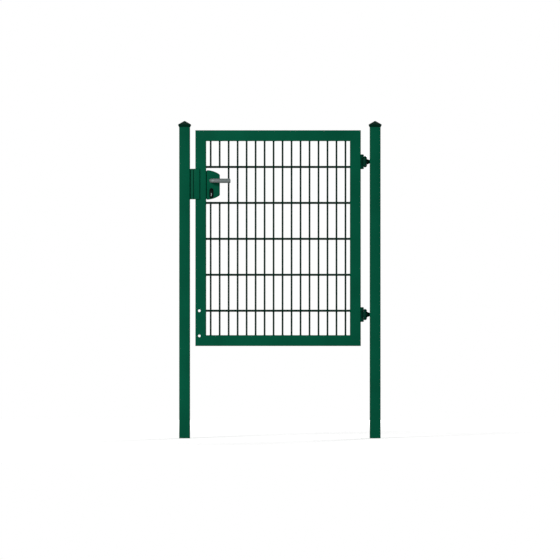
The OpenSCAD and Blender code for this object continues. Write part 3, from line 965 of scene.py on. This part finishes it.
# %% Eye bolts
EYE, EYE_EASE = 40, 1.2
COLLAR, COLLAR_FAR, COLLAR_EASE, COLLAR_SINK = 31, 19, 1.5, 0.5
SHANK, SHANK_START = 16, 8
low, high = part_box("upper_eye_bolt")
mid = (low + high) / 2
axis = Vector((low.x + mm(KNUCKLE) / 2, mid.y, mid.z))
up = mm(0, 0, EYE / 2)
rim = axis + mm(KNUCKLE / 2 - COLLAR_SINK, 0, 0)
post_face = (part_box("hinge_post")[0].x, axis.y, axis.z)
eye = bar("upper_eye_bolt_turned", axis - up, axis + up, KNUCKLE, sides=BARREL_SIDES)
with editing(eye):
    pick(eye, "EDGE", lambda edge: not runs(edge, "z"))
    round_off(EYE_EASE, segments=3)
collar = bar("collar", rim, post_face, COLLAR, COLLAR_FAR, sides=BARREL_SIDES)
with editing(collar):
    pick(collar, "EDGE", lambda edge: lies_at(edge, "x", rim.x))
    round_off(COLLAR_EASE, segments=3)
shank = bar("shank", axis + mm(SHANK_START, 0, 0), (high.x, axis.y, axis.z), SHANK)
eye_bolt = join("upper_eye_bolt_turned", eye, collar, shank)
for turned, node in one_for_each(eye_bolt, "_turned", "upper_eye_bolt", "lower_eye_bolt"):
    dress(turned, eye_coat, "posts", node)

# %% Hinge pins
PIN_EASE = 1.0
low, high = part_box("upper_hinge_pin")
mid = (low + high) / 2
foot, head = (mid.x, mid.y, low.z), (mid.x, mid.y, high.z)
pin_rod = bar("upper_hinge_pin_rod", foot, head, 1000 * (high.x - low.x), sides=BARREL_SIDES)
with editing(pin_rod):
    pick(pin_rod, "EDGE", lambda edge: not runs(edge, "z"))
    round_off(PIN_EASE, segments=3)
for steel, node in one_for_each(pin_rod, "_rod", "upper_hinge_pin", "lower_hinge_pin"):
    dress(steel, bright_steel, "leaf", node)

# %% [markdown]
# ## Screws
#
# Screws hold the forend in the stile, the strike on the keep and the hinge bases on the hinge
# stile. A thread would never be seen, so only the head is made: a disc is extruded, its rim is
# rounded, and a six-sided bar cuts the socket. One head of each kind is modelled at its first
# place and copied to the others.

# %% Screw heads
SCREW_SIDES = 24
SCREW_ROOT, SOCKET_DEPTH = 1, 2.0
SCREW_EASE, EASE_SHARE = 0.9, 0.6  # round of the rim, and its largest share of the height


def pan_head(name, spot, facing, diameter, proud):
    """Head with a hexagon socket on a surface, facing along +x or -x."""
    out = Vector((facing, 0, 0))
    face = spot + out * mm(proud)
    head = disc(name, spot - out * mm(SCREW_ROOT), out, diameter, sides=SCREW_SIDES)
    with editing(head):
        bpy.ops.mesh.select_all(action="SELECT")
        extrude(facing * (SCREW_ROOT + proud), 0, 0)
        pick(head, "EDGE", lambda edge: lies_at(edge, "x", face.x))
        round_off(min(SCREW_EASE, EASE_SHARE * proud), segments=3)
    socket_foot = face - out * mm(min(SOCKET_DEPTH, proud))
    cut(head, bar("socket_cutter", socket_foot, face + out * mm(OVERCUT), diameter / 2, sides=6))
    return head


def screws(spots, facing, metal, body, diameter, proud):
    """Models a head at the first of the named spots, copies it to the others, dresses them all."""
    (name, spot), *others = spots.items()
    first = pan_head(name, spot, facing, diameter, proud)
    copies = [copied(first, other, place - spot) for other, place in others]
    for head in [first] + copies:
        dress(head, metal, body)


# %% Screws of hinges, forend and strike
HINGE_SCREW, HINGE_SCREW_PROUD, HINGE_SCREW_IN = 8, 2.2, 5.6
FLUSH_SCREW, FLUSH_PROUD = 9, 0.5
FOREND_SCREW_IN, STRIKE_SCREW_IN = 8, 12


def both_ends(name, node, x, inset):
    """Named spots at one x, so far in from the top and from the foot of a node."""
    low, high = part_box(node)
    top, foot = high.z - mm(inset), low.z + mm(inset)
    return {name + "_top": Vector((x, 0, top)), name + "_foot": Vector((x, 0, foot))}


hinge_spots = {}
for level in ("upper", "lower"):
    name, node = level + "_hinge_screw", level + "_hinge_base"
    hinge_spots.update(both_ends(name, node, base_front, HINGE_SCREW_IN))
forend_spots = both_ends("forend_screw", "lock_forend", forend_low.x, FOREND_SCREW_IN)
strike_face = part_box("keep_strike")[0].x + mm(STRIKE)
strike_spots = both_ends("strike_screw", "keep_strike", strike_face, STRIKE_SCREW_IN)
screws(hinge_spots, 1, dark_steel, "leaf", HINGE_SCREW, HINGE_SCREW_PROUD)
screws(forend_spots, -1, bright_steel, "leaf", FLUSH_SCREW, FLUSH_PROUD)
screws(strike_spots, 1, bright_steel, "posts", FLUSH_SCREW, FLUSH_PROUD)

# %% [markdown]
# ## Nodes that stay
#
# The forend, the bolts, the key cylinder with its plugs and the square spindle are already
# right as CAD solids, so they stay and only get their finish.

# %% Finishes for the CAD nodes
kept = {
    bright_steel: ("lock_forend", "latch_bolt", "dead_bolt", "lever_spindle"),
    satin_nickel: ("key_cylinder",),
    dark_steel: ("front_key_plug", "rear_key_plug"),
}
for material, nodes in kept.items():
    for node in nodes:
        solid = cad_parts[node]
        solid.data.materials.clear()
        solid.data.materials.append(material)
print("kept nodes:", sum(len(nodes) for nodes in kept.values()))

# %% [markdown]
# ## Floor, light and camera
#
# The picture is a plain front view on white. White all round would leave the gate in mid-air, so
# a pale floor carries a soft shadow. What the camera sees of it, directly or in a reflection, is
# lifted towards white, more so towards its far edge. Brighter lamps would do that too, but would
# wash the gate out, so the Light Path node does it without any extra light. Two wide soft lamps
# light the gate's two sides, each from well to one side, so that whatever stands proud casts a
# thin shadow. A dim even sky fills the rest, and rounded edges turn a little darker.

# %% Floor
FLOOR_SIZE, FLOOR_DROP = 9, 0.5  # in metres, in millimetres
FLOOR_GREY = 0.8
GLOW_NEAR, GLOW_MORE, GLOW_START, GLOW_END = 0.44, 0.5, 1.6, 4.4  # the last two in metres
WHITE = (1, 1, 1, 1)


def seen(net):
    """1 for a ray that shows the background, and 0 for one that lights the gate."""
    camera, glossy, through = (
        net.node("ShaderNodeLightPath", out=f"Is {kind} Ray")
        for kind in ("Camera", "Glossy", "Transmission")
    )
    return camera + glossy + through


choose()
bpy.ops.mesh.primitive_plane_add(size=FLOOR_SIZE, location=(leaf_mid.x, 0, -mm(FLOOR_DROP)))
floor = settle("floor")
material = bpy.data.materials.new("pale_floor")
material.use_nodes = True
net = Network(material.node_tree)
place = net.node("ShaderNodeTexCoord", out="Object")
away = net.node("ShaderNodeVectorMath", {"operation": "LENGTH"}, {0: place}, out="Value")
lift = GLOW_NEAR + GLOW_MORE * net.ramp(away, GLOW_START, GLOW_END)
matt = net.node("ShaderNodeBsdfDiffuse", None, {"Color": (FLOOR_GREY,) * 3 + (1,)})
glow = net.node("ShaderNodeEmission", None, {"Color": WHITE, "Strength": lift * seen(net)})
both = net.node("ShaderNodeAddShader", None, {0: matt, 1: glow})
net.node("ShaderNodeOutputMaterial", None, {"Surface": both})
floor.data.materials.append(material)
print("floor:", FLOOR_SIZE, "m square")

# %% Sky
SKY = 0.2
world = bpy.data.worlds.new("studio")
world.use_nodes = True
net = Network(world.node_tree)
strength = SKY + (1 - SKY) * seen(net)
sky = net.node("ShaderNodeBackground", None, {"Color": WHITE, "Strength": strength})
net.node("ShaderNodeOutputWorld", None, {"Surface": sky})
bpy.context.scene.world = world
print("sky:", SKY, "of white on the gate")

# %% Soft lamps
LAMP_AIM_Z = 0.95
LAMP_Z = 5.2


def softbox(name, x, y, power, size):
    """Wide square lamp that looks at the middle of the gate. Its place is in metres from there."""
    spot = Vector((leaf_mid.x + x, y, LAMP_Z))
    aim = Vector((leaf_mid.x, 0, LAMP_AIM_Z)) - spot
    turn = aim.to_track_quat("-Z", "Y").to_euler()
    choose()
    bpy.ops.object.light_add(type="AREA", location=spot, rotation=turn)
    lamp = bpy.context.object
    lamp.name = name
    lamp.data.energy = power
    lamp.data.size = size
    lamp.visible_camera = False
    print(f"{name}: {power} W, {aim.length:.1f} m away")


softbox("front_softbox", x=-6.5, y=-9.5, power=1110, size=2.8)
softbox("rear_softbox", x=5.6, y=10, power=1060, size=3.4)

# %% Camera
VIEW_WIDTH = 3.116
VIEW_X, VIEW_Z = -0.5293, 0.8801
LENS, SENSOR = 400, 36
CLIP_END = 200
distance = VIEW_WIDTH * LENS / SENSOR
choose()
bpy.ops.object.camera_add(location=(VIEW_X, -distance, VIEW_Z), rotation=(math.pi / 2, 0, 0))
camera = bpy.context.object
camera.data.lens = LENS
camera.data.sensor_width = SENSOR
camera.data.clip_end = CLIP_END
bpy.context.scene.camera = camera
bpy.context.scene.view_settings.view_transform = "Standard"
print("camera stands", round(distance, 2), "m in front")
